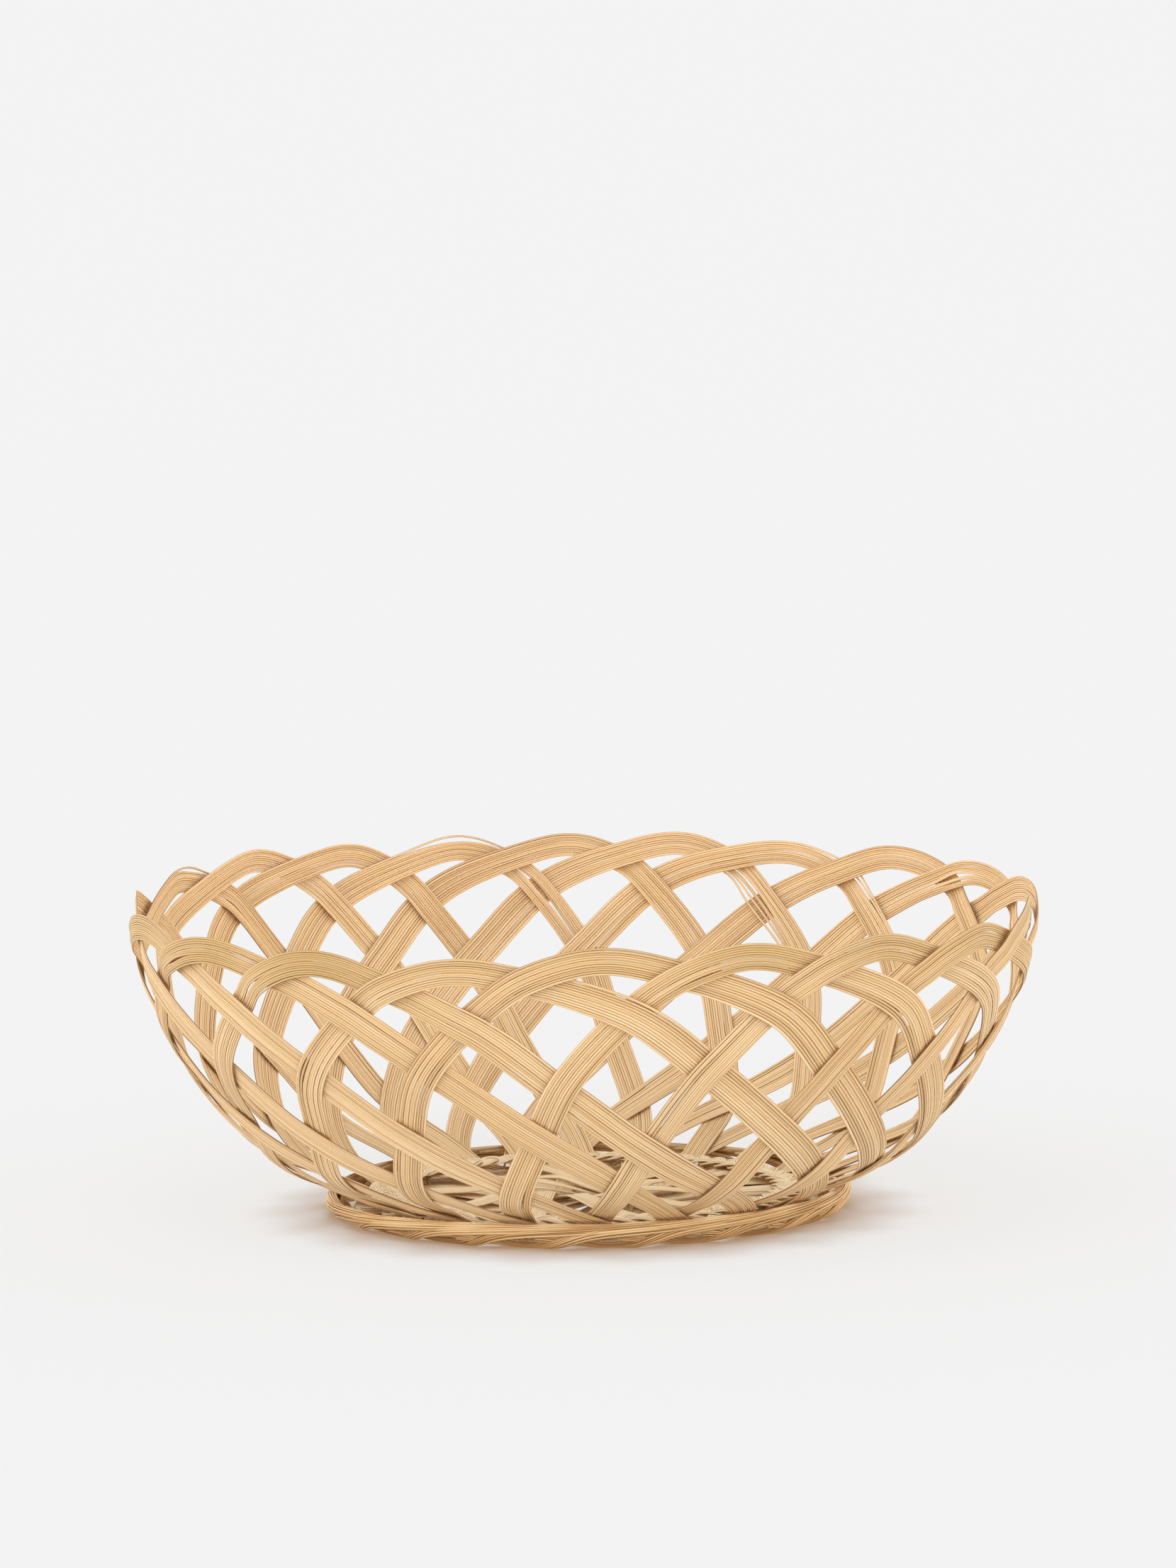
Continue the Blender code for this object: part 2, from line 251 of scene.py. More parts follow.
def wall_radius(height):
    share = height / RIM_RADIUS
    curve = np.sin(math.pi / 2.0 * share / PROFILE_SHARE)
    tuck = TUCK_SHARE * np.exp(-((share / TUCK_REACH) ** 2))
    return RIM_RADIUS * (FOOT_SHARE + (1.0 - FOOT_SHARE) * curve - tuck)


def wall_normal(points):
    """The wall's outward direction at points on it, from its slope and the rear rise."""
    x, y, z = points[:, 0], points[:, 1], points[:, 2]
    rise = REAR_RISE / RIM_RADIUS
    stretch = 1.0 + rise * y
    height = z / stretch
    step = 0.0002
    slope = (wall_radius(height + step) - wall_radius(height - step)) / (2.0 * step)
    flat = np.hypot(x, y)
    along_y = y / flat + slope * height * rise / stretch
    return unit(np.stack([x / flat, along_y, -slope / stretch], axis=-1))


def onto_wall(points):
    """Points moved level with themselves to the wall's middle surface."""
    x, y, z = points[:, 0], points[:, 1], points[:, 2]
    height = z / (1.0 + REAR_RISE * y / RIM_RADIUS)
    scale = wall_radius(height) / np.hypot(x, y)
    return np.stack([x * scale, y * scale, z], axis=-1)


def curve_through(values, u):
    """Catmull-Rom curve through values at u = 0, 1, 2 and so on."""
    before = 2.0 * values[0] - values[1]
    after = 2.0 * values[-1] - values[-2]
    padded = np.array([before, *values, after])
    i = np.clip(np.floor(u).astype(int), 0, len(values) - 2)
    f = u - i
    a, b, c, d = (padded[i + k] for k in range(4))
    slope_b = (c - a) / 2.0
    slope_c = (d - b) / 2.0
    return (
        b * (1.0 + 2.0 * f) * (1.0 - f) ** 2
        + slope_b * f * (1.0 - f) ** 2
        + c * f * f * (3.0 - 2.0 * f)
        + slope_c * f * f * (f - 1.0)
    )


def ruled_point(crown, u):
    """A point of an arch as the rule has it: u counts crossings, rising leg negative."""
    falling = [a + PITCH_DEG * k for k, a in enumerate(RISING_AZIMUTHS)]
    azimuths = list(reversed(RISING_AZIMUTHS)) + falling[1:]
    shares = list(reversed(CROSSING_HEIGHTS)) + list(CROSSING_HEIGHTS[1:])
    azimuth = crown + curve_through(azimuths, FOOT_CROSSING + u)
    height = RIM_RADIUS * curve_through(shares, FOOT_CROSSING + u)
    return place(azimuth, wall_radius(height), height)


def arch_middle(number, u):
    """The middle of a bundle, where it strays from the rule."""
    crown = FIRST_CROWN_DEG + PITCH_DEG * number
    point = ruled_point(crown, u)
    along = unit(ruled_point(crown, u + 0.02) - ruled_point(crown, u - 0.02))
    across = np.cross(wall_normal(point), along)
    strays = np.array([0.0, *ARCH_STRAY_MM[number % ARCH_COUNT], 0.0]) / 1000.0
    stray = curve_through(strays, (u + FOOT_CROSSING) / 2.0)
    return onto_wall(point + across * stray[:, None])


@functools.lru_cache(maxsize=None)
def meeting(rising_number, crossing):
    """Where the rising leg of one arch and the falling leg of another cross."""
    falling_number = (rising_number - crossing) % ARCH_COUNT
    near = np.linspace(-0.75, 0.75, 101)
    rising = arch_middle(rising_number, near - crossing)
    falling = arch_middle(falling_number, near + crossing)
    gaps = np.linalg.norm(rising[:, None] - falling[None], axis=2)
    i, j = divmod(int(gaps.argmin()), len(near))
    return near[i] - crossing, near[j] + crossing


def weave_side(number, u):
    """1 where the bundle is outside, -1 inside: a rising leg is outside at odd crossings."""
    crossings = [c for c in range(-FOOT_CROSSING, FOOT_CROSSING + 1) if c != 0]
    places = np.array(crossings, float)
    for i, crossing in enumerate(crossings[1:-1], start=1):
        if crossing < 0:
            places[i] = meeting(number, -crossing)[0]
        else:
            places[i] = meeting((number + crossing) % ARCH_COUNT, crossing)[1]
    sides = np.array([1.0 if (c % 2 == 1) == (c < 0) else -1.0 for c in crossings])
    holds = np.array([HOLD_SHARE_FIRST if abs(c) == 1 else HOLD_SHARE for c in crossings])
    i = np.clip(np.searchsorted(places, u) - 1, 0, len(places) - 2)
    f = (u - places[i]) / (places[i + 1] - places[i])
    f = smooth((f - holds[i]) / (1.0 - holds[i + 1] - holds[i]))
    return sides[i] * (1.0 - f) + sides[i + 1] * f


# ---------------------------------------------------------------- splints


def ripple(count, waves, size):
    """A slow wander along a splint: a few sine waves of random phase."""
    t = np.linspace(0.0, 1.0, count)
    total = np.zeros(count)
    for wave in range(1, waves + 1):
        phase = MOTTLE.uniform(0.0, math.tau)
        total += np.sin(math.tau * wave * t * 0.8 + phase) / wave
    return size * total / 1.6


class Bundle:
    """Collects splints, each a rounded tube, into one mesh."""

    def __init__(self, tone_from=0.0, tone_to=1.0):
        self.tones = (tone_from, tone_to)
        self.points = []
        self.quads = []
        self.caps = []
        self.uvs = []
        self.cap_uvs = []
        self.tone = []
        self.bend = []
        self.count = 0

    def splint(self, middle, across, out, width, thickness, bend=None):
        """A tube through the middle points; across and out are the axes of its section."""
        stations = len(middle)
        handed = np.dot(np.cross(across[0], out[0]), middle[1] - middle[0])
        turn = -1.0 if handed > 0.0 else 1.0  # so that every face points outwards
        angle = turn * math.tau * np.arange(SECTION_SIDES) / SECTION_SIDES
        power = 2.0 / SECTION_SQUARENESS
        side = np.sign(np.cos(angle)) * np.abs(np.cos(angle)) ** power
        face = np.sign(np.sin(angle)) * np.abs(np.sin(angle)) ** power
        half_width = (np.broadcast_to(width, stations) / 2.0)[:, None, None]
        half_thickness = (np.broadcast_to(thickness, stations) / 2.0)[:, None, None]
        ring = (
            middle[:, None, :]
            + across[:, None, :] * side[None, :, None] * half_width
            + out[:, None, :] * face[None, :, None] * half_thickness
        )
        ring[..., 2] = np.maximum(ring[..., 2], 0.00002)
        self.points.append(ring.reshape(-1, 3))
        tone = MOTTLE.uniform(*self.tones)
        self.tone.append(np.full(stations * SECTION_SIDES, tone))
        if bend is None:
            bend = np.zeros(stations)
        self.bend.append(np.repeat(bend, SECTION_SIDES))
        run = np.linalg.norm(np.diff(middle, axis=0), axis=1)
        length = np.concatenate([[0.0], np.cumsum(run)]) + MOTTLE.uniform(0.0, 1.0)
        i = np.repeat(np.arange(stations - 1), SECTION_SIDES)
        j = np.tile(np.arange(SECTION_SIDES), stations - 1)
        k = (j + 1) % SECTION_SIDES
        base = self.count
        low = base + i * SECTION_SIDES
        high = low + SECTION_SIDES
        self.quads.append(np.stack([low + j, high + j, high + k, low + k], axis=1))
        v = (1.0 - turn) / 2.0 + turn * j / SECTION_SIDES
        w = (1.0 - turn) / 2.0 + turn * (j + 1) / SECTION_SIDES
        corner_u = np.stack([length[i], length[i + 1], length[i + 1], length[i]], axis=1)
        corner_v = np.stack([v, v, w, w], axis=1)
        self.uvs.append(np.stack([corner_u, corner_v], axis=-1).reshape(-1, 2))
        first = base + np.arange(SECTION_SIDES)
        last = base + (stations - 1) * SECTION_SIDES + np.arange(SECTION_SIDES)
        self.caps += [first, last[::-1]]
        for at in (length[0], length[-1]):
            self.cap_uvs.append(np.full((SECTION_SIDES, 2), (at, 0.25)))
        self.count += stations * SECTION_SIDES

    def make(self, name, material):
        points = np.concatenate(self.points)
        quads = np.concatenate(self.quads)
        corners = np.concatenate([quads.reshape(-1), *self.caps]).astype(np.int32)
        sizes = np.array([4] * len(quads) + [SECTION_SIDES] * len(self.caps), np.int32)
        starts = np.concatenate([[0], np.cumsum(sizes)[:-1]]).astype(np.int32)
        mesh = bpy.data.meshes.new(name)
        mesh.vertices.add(len(points))
        mesh.vertices.foreach_set("co", points.astype(np.float32).reshape(-1))
        mesh.loops.add(len(corners))
        mesh.loops.foreach_set("vertex_index", corners)
        mesh.polygons.add(len(sizes))
        mesh.polygons.foreach_set("loop_start", starts)
        mesh.polygons.foreach_set("use_smooth", np.ones(len(sizes), bool))
        mesh.update(calc_edges=True)
        layer = mesh.uv_layers.new(name="splint")
        uvs = np.concatenate(self.uvs + self.cap_uvs).astype(np.float32)
        layer.data.foreach_set("uv", uvs.reshape(-1))
        for label, values in (("tone", self.tone), ("bend", self.bend)):
            attribute = mesh.attributes.new(label, "FLOAT", "POINT")
            attribute.data.foreach_set("value", np.concatenate(values).astype(np.float32))
        mesh.materials.append(material)
        ob = bpy.data.objects.new(name, mesh)
        bpy.context.scene.collection.objects.link(ob)
        return ob


def finish_piece(ob, slot, *nodes):
    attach(ob, "root")
    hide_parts(*nodes)


# ---------------------------------------------------------------- wall


# Splits seen in the wall: arch, place along it (crossings from the crown, rising legs
# negative), mm outwards from the bundle's middle, half length in crossings, width in mm
WALL_SPLITS = (
    (2, -0.75, -1.8, 0.35, 0.7),
    (3, -1.30, 0.0, 0.40, 0.9),
    (4, -3.00, 2.2, 0.35, 0.5),
    (4, -2.95, 3.4, 0.30, 0.5),
    (6, -5.20, -2.6, 0.55, 0.7),
    (6, 2.20, -3.2, 0.35, 0.5),
    (7, 2.40, 0.0, 0.45, 0.9),
    (8, 0.40, 1.4, 0.30, 0.4),
    (11, 0.45, -0.9, 0.50, 1.4),
    (11, 0.40, -2.5, 0.40, 0.7),
    (13, -1.30, 4.0, 0.90, 1.2),
    (13, -1.50, 2.9, 0.80, 1.0),
    (14, -1.90, -4.0, 0.90, 1.6),
    (14, -1.80, -3.0, 0.90, 1.4),
    (14, -1.70, -1.7, 0.80, 1.0),
    (16, 0.10, 3.9, 0.80, 1.7),
    (16, -1.70, 0.0, 0.55, 1.5),
    (19, -0.45, 3.6, 0.45, 1.2),
)


def wall_splits(number):
    """This arch's own splits, and a few small ones of its own, each with its gap's number."""
    splits = []
    for arch, place_u, aside, reach, size in WALL_SPLITS:
        if arch == number:
            pitch = np.interp(place_u, WIDTH_PLACES, WIDTH_VALUES) / WALL_SPLINTS
            gap = round(aside / 1000.0 / pitch + WALL_SPLINTS / 2.0)
            splits.append((place_u, gap, reach, size / 1000.0))
    for _ in range(CHANCE_SPLITS):
        place_u = MOTTLE.uniform(-5.0, 5.0)
        gap = int(MOTTLE.integers(1, WALL_SPLINTS))
        splits.append((place_u, gap, MOTTLE.uniform(0.25, 0.7), MOTTLE.uniform(0.00015, 0.0004)))
    return splits


def wall_arch(number, material):
    u = np.linspace(-WALL_END, WALL_END, WALL_STATIONS)
    middle = arch_middle(number - 1, u)
    out = wall_normal(middle)
    along = unit(arch_middle(number - 1, u + 0.02) - arch_middle(number - 1, u - 0.02))
    across = np.cross(out, along)
    side = weave_side(number - 1, u)
    offset = WEAVE_OFFSET + RIM_OFFSET * np.exp(-((u / RIM_REACH) ** 4))
    crown_share = CROWN_STAIN[number - 1] * np.exp(-((u / CROWN_REACH) ** 2))
    pitch = np.interp(u, WIDTH_PLACES, WIDTH_VALUES) / WALL_SPLINTS
    splits = wall_splits(number)
    paler = MOTTLE.uniform(0.0, 0.30)
    bundle = Bundle(paler, paler + 0.70)
    for i in range(WALL_SPLINTS):
        slot = i - (WALL_SPLINTS - 1) / 2.0
        sideways = pitch * slot + ripple(WALL_STATIONS, 5, WALL_WANDER)
        for place_u, gap, reach, size in splits:
            bump = np.exp(-(((u - place_u) / reach) ** 2) * 2.0)
            away = 1.0 if i >= gap else -1.0
            near = abs(i + 0.5 - gap) - 0.5
            sideways += away * size / 2.0 * bump * math.exp(-near / SPLIT_SPREAD)
        edge = abs(slot) / (WALL_SPLINTS / 2.0)
        lift = ripple(WALL_STATIONS, 5, WALL_WANDER) + MOTTLE.uniform(-WALL_WANDER, WALL_WANDER)
        lift -= WALL_EDGE_DROP * edge**3
        point = onto_wall(middle + across * sideways[:, None])
        point += out * (offset * side + lift)[:, None]
        width = pitch * MOTTLE.uniform(1.03, 1.10)
        thickness = WALL_SPLINT_THICKNESS * MOTTLE.uniform(0.9, 1.1)
        first = int(MOTTLE.integers(0, 2))
        last = WALL_STATIONS - int(MOTTLE.integers(0, 2))
        keep = slice(first, last)
        bundle.splint(
            point[keep], across[keep], out[keep], width[keep], thickness, crown_share[keep]
        )
    name = f"wall_arch_{number:02d}"
    finish_piece(bundle.make(name, material), "wall_bamboo", f"arch_{number:02d}")


# ---------------------------------------------------------------- foot border


def border_point(start, turn, level):
    """Points of a border bundle: degrees past its start, and how far it lies off the roll.

    A bundle comes out from under the one before it, loops down to the floor and then winds
    slowly up round the outside of the roll.
    """
    climb = BORDER_FROM_DEG + (BORDER_TO_DEG - BORDER_FROM_DEG) * turn / BORDER_SPAN_DEG
    climb = np.clip(climb, BORDER_FROM_DEG, BORDER_TO_DEG + 15.0)
    roll = np.radians(climb - BORDER_DIP_DEG * np.exp(-((turn / BORDER_DIP_REACH_DEG) ** 2)))
    size = roll_size(start + turn)
    lean = BORDER_LEAN * (1.0 - np.sin(roll)) / 2.0
    radius = BORDER_RADIUS + size * (BORDER_ROLL + level) * np.cos(roll) - lean
    height = size * (BORDER_HEIGHT + (BORDER_ROLL + level) * np.sin(roll))
    return place(start + turn, radius, height)


def roll_size(azimuth):
    """The roll is thinner on one side of the basket."""
    away = np.radians(azimuth - BORDER_THIN_DEG)
    return 1.0 - BORDER_THINNING * np.exp(-((2.0 * np.sin(away / 2.0) / 0.75) ** 2))


def border_bundle(number, material):
    start = FIRST_CROWN_DEG + BORDER_LEAD_DEG + PITCH_DEG * (number - 1)
    start += MOTTLE.uniform(-1.2, 1.2)
    turn = np.linspace(BORDER_START_DEG, BORDER_PAST_DEG, BORDER_STATIONS)
    under = smooth(-turn / 9.0)
    tuck = smooth((turn - BORDER_TUCK_FROM_DEG) / (BORDER_PAST_DEG - BORDER_TUCK_FROM_DEG))
    level = ripple(BORDER_STATIONS, 3, 0.00014) - BORDER_UNDER * under - BORDER_TUCKED * tuck
    point = border_point(start, turn, level)
    core = place(start + turn, BORDER_RADIUS - 0.0025, BORDER_HEIGHT * roll_size(start + turn))
    along = unit(border_point(start, turn + 0.2, level) - border_point(start, turn - 0.2, level))
    outward = point - core
    outward = unit(outward - along * np.sum(outward * along, axis=1, keepdims=True))
    upward = np.cross(outward, along)
    tilt = math.radians(BORDER_TILT_DEG) + ripple(BORDER_STATIONS, 2, 0.08)[:, None]
    across = upward * np.cos(tilt) - outward * np.sin(tilt)
    out = outward * np.cos(tilt) + upward * np.sin(tilt)
    waist = 1.0 - 0.50 * tuck - 0.15 * under
    pitch = BORDER_WIDTH * MOTTLE.uniform(0.93, 1.07) * waist / BORDER_SPLINTS
    paler = MOTTLE.uniform(0.0, 0.55)
    bundle = Bundle(paler, paler + 0.45)
    for row in (0, 1):
        count = BORDER_SPLINTS - 2 * row
        for i in range(count):
            slot = i - (count - 1) / 2.0
            sideways = pitch * slot + ripple(BORDER_STATIONS, 3, 0.00013)
            lift = BORDER_PROUD - BORDER_ROW_STEP * row - BORDER_EDGE_DROP * (slot / 2.0) ** 2
            lift = lift + ripple(BORDER_STATIONS, 3, 0.00008)
            middle = point + across * sideways[:, None] + out * lift[:, None]
            middle[:, 2] = np.maximum(middle[:, 2], 0.00034 + 0.0002 * row)
            keep = slice(int(MOTTLE.integers(0, 3)), BORDER_STATIONS - int(MOTTLE.integers(0, 4)))
            width = pitch * MOTTLE.uniform(0.98, 1.12)
            thickness = BORDER_SPLINT_THICKNESS
            bundle.splint(middle[keep], across[keep], out[keep], width[keep], thickness)
    name = f"foot_border_{number:02d}"
    finish_piece(bundle.make(name, material), "border_bamboo", f"border_{number:02d}")


# ---------------------------------------------------------------- base


def star_climb(s):
    size = np.abs(s)
    f = smooth((size - STAR_STEEP) / (STAR_SETTLED - STAR_STEEP))
    settled = STAR_CLIMB * (1.0 - f) + STAR_END_CLIMB * f
    steep = STAR_CLIMB * s / STAR_STEEP
    return np.where(size < STAR_STEEP, steep, np.sign(s) * settled)


def star_point(turn, s, aside, height):
    """Points of a star bundle: s along it, aside across it, bent with the whole basket."""
    t = math.radians(turn)
    offset = STAR_OFFSET + aside
    x = offset * math.sin(t) + s * math.cos(t)
    y = -offset * math.cos(t) + s * math.sin(t)
    return place(np.degrees(np.arctan2(x, -y)), np.hypot(x, y), height)


def flat_frame(points):
    """Directions across a strip that lies flat, and up out of it."""
    along = unit(np.gradient(points, axis=0))
    across = unit(np.cross(along, np.array([0.0, 0.0, 1.0])))
    return across, np.cross(across, along)


def star_bundle(number, material):
    first = FIRST_CROWN_DEG + RISING_AZIMUTHS[-1] + 81.0
    turn = first + 360.0 * (number - 1) / STAR_COUNT
    end = math.sqrt(STAR_REACH**2 - STAR_OFFSET**2)
    s = np.linspace(-end, end, STAR_STATIONS)
    height = STAR_HEIGHT + star_climb(s)
    fan = smooth((np.abs(s) - STAR_FAN_FROM) / (end - STAR_FAN_FROM))
    pitch = (STAR_WIDTH * (1.0 - fan) + STAR_END_WIDTH * fan) / STAR_SPLINTS
    bundle = Bundle()
    for i in range(STAR_SPLINTS):
        slot = i - (STAR_SPLINTS - 1) / 2.0
        aside = pitch * slot + ripple(STAR_STATIONS, 4, 0.00009)
        middle = star_point(turn, s, aside, height + ripple(STAR_STATIONS, 4, 0.00004))
        across, out = flat_frame(middle)
        keep = slice(int(MOTTLE.integers(0, 3)), STAR_STATIONS - int(MOTTLE.integers(0, 3)))
        width = pitch * MOTTLE.uniform(1.02, 1.12)
        thickness = STAR_SPLINT_THICKNESS
        bundle.splint(middle[keep], across[keep], out[keep], width[keep], thickness)
    name = f"base_star_{number:02d}"
    finish_piece(bundle.make(name, material), "star_bamboo", f"star_{number:02d}")


def base_strips(material):
    """Broad slanting strips side by side, lapped a little, that close the base."""
    bundle = Bundle()
    share = np.linspace(0.0, 1.0, MAT_STATIONS)
    radius = MAT_HEART + (MAT_OUTER - MAT_HEART) * share
    rise = (MAT_LOW.z + 0.00015) * smooth((radius - MAT_RISE_FROM) / MAT_RISE_OVER)
    for strip in range(MAT_STRIPS):
        start = 360.0 * strip / MAT_STRIPS + MOTTLE.uniform(-1.5, 1.5)
        for i in range(MAT_SPLINTS):
            slot = (i - (MAT_SPLINTS - 1) / 2.0) / MAT_SPLINTS
            azimuth = start + MAT_SLANT_DEG * share + 360.0 / MAT_STRIPS * slot
            height = MAT_ON_FLOOR + rise + MAT_LAP * (strip % 2)
            height = height + np.abs(ripple(MAT_STATIONS, 3, 0.00006))
            middle = place(azimuth, radius, height)
            across, out = flat_frame(middle)
            width = math.tau * radius / MAT_STRIPS / MAT_SPLINTS * MAT_COVER
            width = width * MOTTLE.uniform(0.98, 1.08)
            bundle.splint(middle, across, out, width, MAT_SPLINT_THICKNESS)
    finish_piece(bundle.make("base_strips", material), "mat_bamboo", "base_mat")


def base_plait(material):
    """Three flat strands plaited into a ring that lies on the star."""
    bundle = Bundle()
    azimuth = np.linspace(0.0, 360.0, PLAIT_STATIONS)
    middle_height = (PLAIT_LOW.z + PLAIT_HIGH.z) / 2.0
    for which in range(PLAIT_STRANDS):
        phase = np.radians(azimuth) * PLAIT_TURNS + math.tau * which / PLAIT_STRANDS
        swing = PLAIT_SWING * np.sin(phase)
        rise = PLAIT_RISE * np.sin(2.0 * phase)
        line = place(azimuth, PLAIT_RADIUS + swing, middle_height + rise)
        across, out = flat_frame(line)
        for i in range(PLAIT_SPLINTS):
            slot = i - (PLAIT_SPLINTS - 1) / 2.0
            lift = ripple(PLAIT_STATIONS, 9, 0.00006) - PLAIT_ROUNDING * slot**2
            middle = line + across * PLAIT_PITCH * slot + out * lift[:, None]
            bundle.splint(middle, across, out, *PLAIT_SPLINT)
    finish_piece(bundle.make("base_plait", material), "braid_bamboo", "base_braid")


# ---------------------------------------------------------------- materials


class Nodes:
    """Short calls for building a material's node tree."""

    def __init__(self, material):
        material.use_nodes = True
        self.tree = material.node_tree
        self.shader = self.tree.nodes["Principled BSDF"]

    def new(self, kind, **values):
        node = self.tree.nodes.new(kind)
        for key, value in values.items():
            setattr(node, key, value)
        return node

    def link(self, source, target):
        self.tree.links.new(source, target)

    def fill(self, socket, value):
        if isinstance(value, bpy.types.NodeSocket):
            self.link(value, socket)
        else:
            socket.default_value = value

    def math(self, operation, a, b=0.0, clamp=False):
        node = self.new("ShaderNodeMath", operation=operation, use_clamp=clamp)
        self.fill(node.inputs[0], a)
        self.fill(node.inputs[1], b)
        return node.outputs[0]

    def span(self, value, low, high, to_low=0.0, to_high=1.0):
        node = self.new("ShaderNodeMapRange", interpolation_type="SMOOTHSTEP")
        self.fill(node.inputs["Value"], value)
        for label, number in zip(
            ("From Min", "From Max", "To Min", "To Max"), (low, high, to_low, to_high)
        ):
            node.inputs[label].default_value = number
        return node.outputs["Result"]

    def mix(self, share, a, b, blend="MIX"):
        node = self.new("ShaderNodeMix", data_type="RGBA", blend_type=blend)
        self.fill(node.inputs["Factor"], share)
        self.fill(node.inputs["A"], a)
        self.fill(node.inputs["B"], b)
        return node.outputs["Result"]

    def noise(self, vector, scale=1.0, detail=2.0, roughness=0.5):
        node = self.new("ShaderNodeTexNoise")
        self.fill(node.inputs["Vector"], vector)
        node.inputs["Scale"].default_value = scale
        node.inputs["Detail"].default_value = detail
        node.inputs["Roughness"].default_value = roughness
        return node.outputs["Fac"]

    def attribute(self, name):
        return self.new("ShaderNodeAttribute", attribute_name=name).outputs["Fac"]

    def vector(self, x, y, z):
        node = self.new("ShaderNodeCombineXYZ")
        for socket, value in zip(node.inputs, (x, y, z)):
            self.fill(socket, value)
        return node.outputs[0]


def bamboo(name, pale, honey, deep, stain_share, groove_shade, foot_shade_share=0.0):
    """Split bamboo: long grain, brown streaks, dusky stains, pores, and darker brown edges with painted
    shade between the splints; the foot can also get painted shade low down.
    """
    material = bpy.data.materials.new(name)
    n = Nodes(material)
    tone = n.attribute("tone")
    bend = n.attribute("bend")
    uv = n.new("ShaderNodeUVMap", uv_map="splint").outputs["UV"]
    parts = n.new("ShaderNodeSeparateXYZ")
    n.link(uv, parts.inputs[0])
    along = parts.outputs["X"]
    around = parts.outputs["Y"]
    seed = n.math("MULTIPLY", tone, 91.0)
    turn = n.math("MULTIPLY", around, math.tau)
    beside = n.math("COSINE", turn)
    facing = n.math("SINE", turn)

    def grain(per_metre, round_scale, detail, roughness=0.55):
        x = n.math("MULTIPLY", along, per_metre)
        y = n.math("MULTIPLY", beside, round_scale)
        z = n.math("ADD", n.math("MULTIPLY", facing, round_scale), seed)
        return n.noise(n.vector(x, y, z), 1.0, detail, roughness)

    fibres = grain(90.0, 5.0, 4.0)
    streaks = grain(16.0, 1.6, 2.0)
    pores = grain(1300.0, 3.5, 1.0)
    where = n.new("ShaderNodeTexCoord").outputs["Object"]
    cloud = n.noise(where, 34.0, 3.0)
    patch = n.noise(where, 11.0, 2.0)

    luck = n.math("FRACT", n.math("MULTIPLY", tone, 57.0))  # another chance number per splint
    share = n.math("ADD", n.math("MULTIPLY", tone, 0.70), n.math("MULTIPLY", cloud, 0.60))
    colour = n.mix(n.span(share, 0.25, 1.00), pale, honey)
    colour = n.mix(n.span(luck, 0.55, 1.0, 0.0, 0.55), colour, deep)
    colour = n.mix(n.span(fibres, 0.42, 0.75, 0.0, 0.45), colour, deep)
    colour = n.mix(n.span(streaks, 0.60, 0.78, 0.0, 0.42), colour, deep)
    olive = (*(c * k for c, k in zip(honey, (0.69, 0.65, 0.47))), 1.0)
    crown = n.math("MULTIPLY", bend, n.span(facing, -0.3, 0.4, 0.0, 0.85))
    colour = n.mix(crown, colour, olive)
    dusk = (0.42, 0.215, 0.105, 1.0)
    foot_shade_brown = (0.42, 0.205, 0.06, 1.0)  # painted shade on the underside of the foot near the floor, with the border's own darker brown
    stained = n.math("MULTIPLY", n.span(patch, 0.56, 0.72), n.span(streaks, 0.42, 0.66))
    colour = n.mix(n.math("MULTIPLY", stained, stain_share), colour, dusk)
    dots = n.math("MULTIPLY", n.span(pores, 0.69, 0.76), n.span(cloud, 0.50, 0.68))
    colour = n.mix(n.math("MULTIPLY", dots, 0.55), colour, (0.20, 0.10, 0.04, 1.0))
    # painted shade low on the foot border near the floor, mixed with its darker brown
    if foot_shade_share:
        foot = n.new("ShaderNodeSeparateXYZ")
        n.link(where, foot.inputs[0])
        colour = n.mix(n.span(foot.outputs["Z"], 0.0010, 0.0070, foot_shade_share, 0.0), colour, foot_shade_brown)
    # painted shade on each splint's flanks where it meets its neighbours, together with the splints' own
    # darker edges
    flank = n.math("ABSOLUTE", beside)
    groove_shade_mix = n.math("MULTIPLY", n.span(luck, 0.0, 1.0, 0.45, 1.0), n.span(flank, 0.50, 0.95, 0.0, groove_shade))
    colour = n.mix(groove_shade_mix, colour, (0.22, 0.10, 0.03, 1.0))
    n.link(colour, n.shader.inputs["Base Color"])

    rough = n.math("ADD", n.span(fibres, 0.3, 0.8, 0.40, 0.62), n.math("MULTIPLY", cloud, 0.10))
    n.link(rough, n.shader.inputs["Roughness"])
    n.shader.inputs["Specular IOR Level"].default_value = 0.35
    bump = n.new("ShaderNodeBump")
    bump.inputs["Strength"].default_value = 0.55
    bump.inputs["Distance"].default_value = 0.00012
    n.link(n.math("SUBTRACT", fibres, n.math("MULTIPLY", dots, 0.5)), bump.inputs["Height"])
    n.link(bump.outputs["Normal"], n.shader.inputs["Normal"])
    return material


